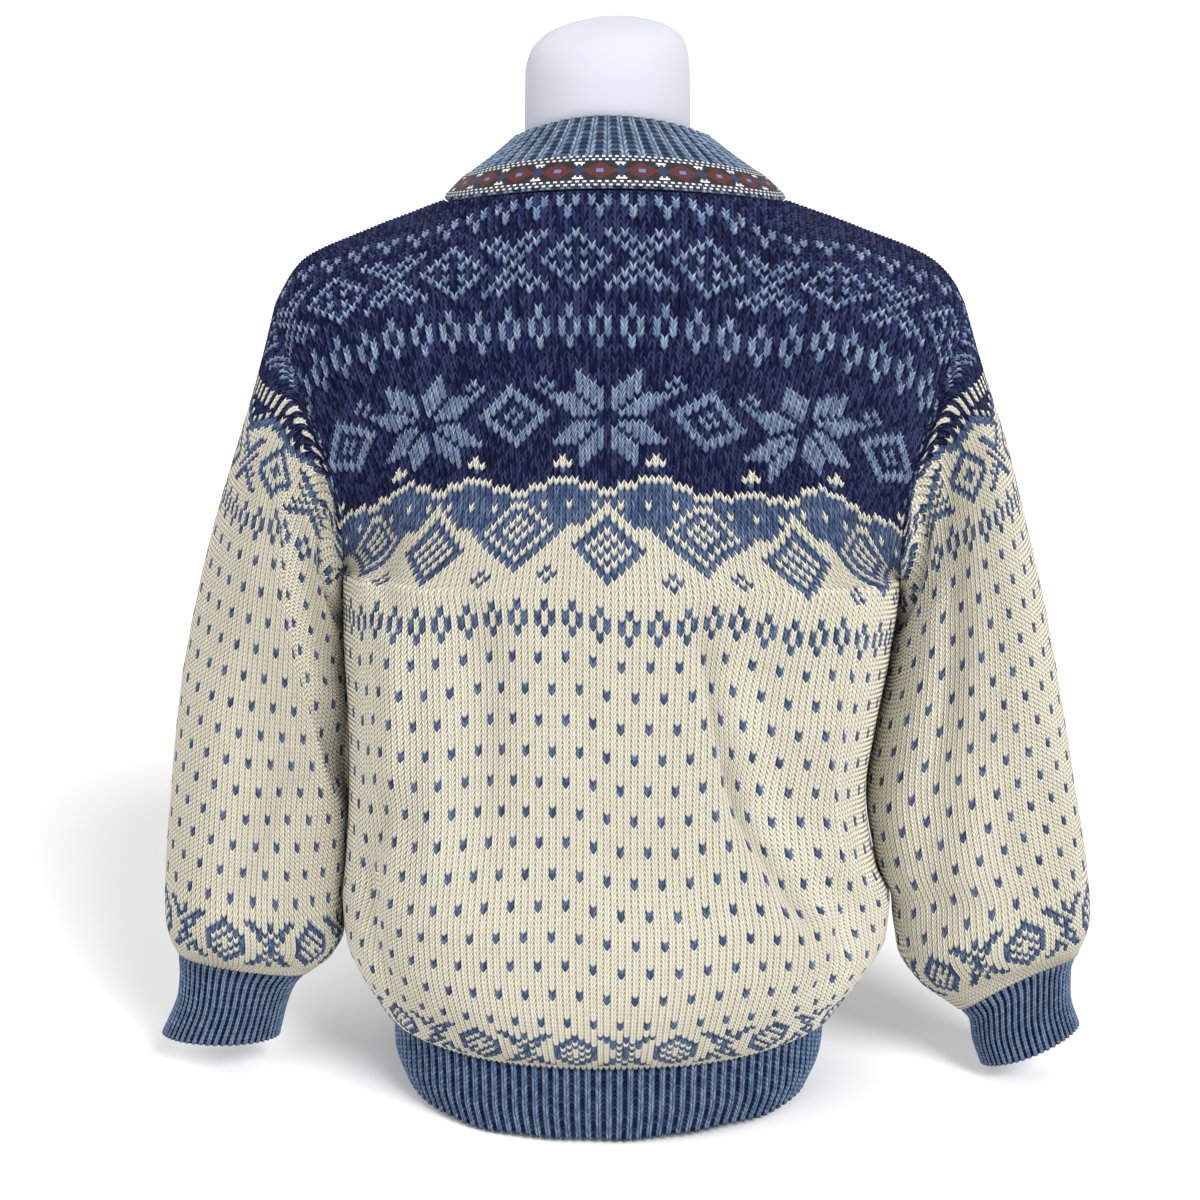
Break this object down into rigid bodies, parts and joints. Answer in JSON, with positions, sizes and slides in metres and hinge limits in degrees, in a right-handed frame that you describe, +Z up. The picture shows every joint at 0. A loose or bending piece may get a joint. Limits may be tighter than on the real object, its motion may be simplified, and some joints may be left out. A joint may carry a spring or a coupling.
{
  "type": "cardigan on a dress form",
  "caption": "Knitted wool cardigan with a button front, stand-up rib collar, woven neck ribbon and rib cuffs and hem, worn on a smooth limbless dress form.",
  "frame": {"origin": "centre of the dress form's flat base", "axes": "+Z up the form, +Y out of the buttoned front, -Y out of the back, and -X to the wearer's left"},
  "size_m": [0.6776, 0.2838, 0.763],
  "materials": {
    "wool_knit": "stranded wool knit, cream, mid blue and navy",
    "wool_rib": "blue heathered wool rib",
    "woven_ribbon": "woven ribbon, dark red, black, navy and cream",
    "button_metal": "dull cast metal",
    "form_jersey": "white jersey stretched over a rigid form"
  },
  "bodies": {
    "root": {"back": "wool_knit", "front_left": "wool_knit", "front_right": "wool_knit", "sleeve_left": "wool_knit", "sleeve_right": "wool_knit", "cuff_left": "wool_rib", "cuff_right": "wool_rib", "hem_rib": "wool_rib", "collar": "wool_rib", "neck_ribbon": "woven_ribbon", "band_left": "wool_rib", "band_right": "wool_rib", "dress_form": "form_jersey", "button_1": "button_metal", "button_2": "button_metal", "button_3": "button_metal", "button_4": "button_metal", "button_5": "button_metal", "button_6": "button_metal", "button_7": "button_metal"}
  },
  "joints": []
}
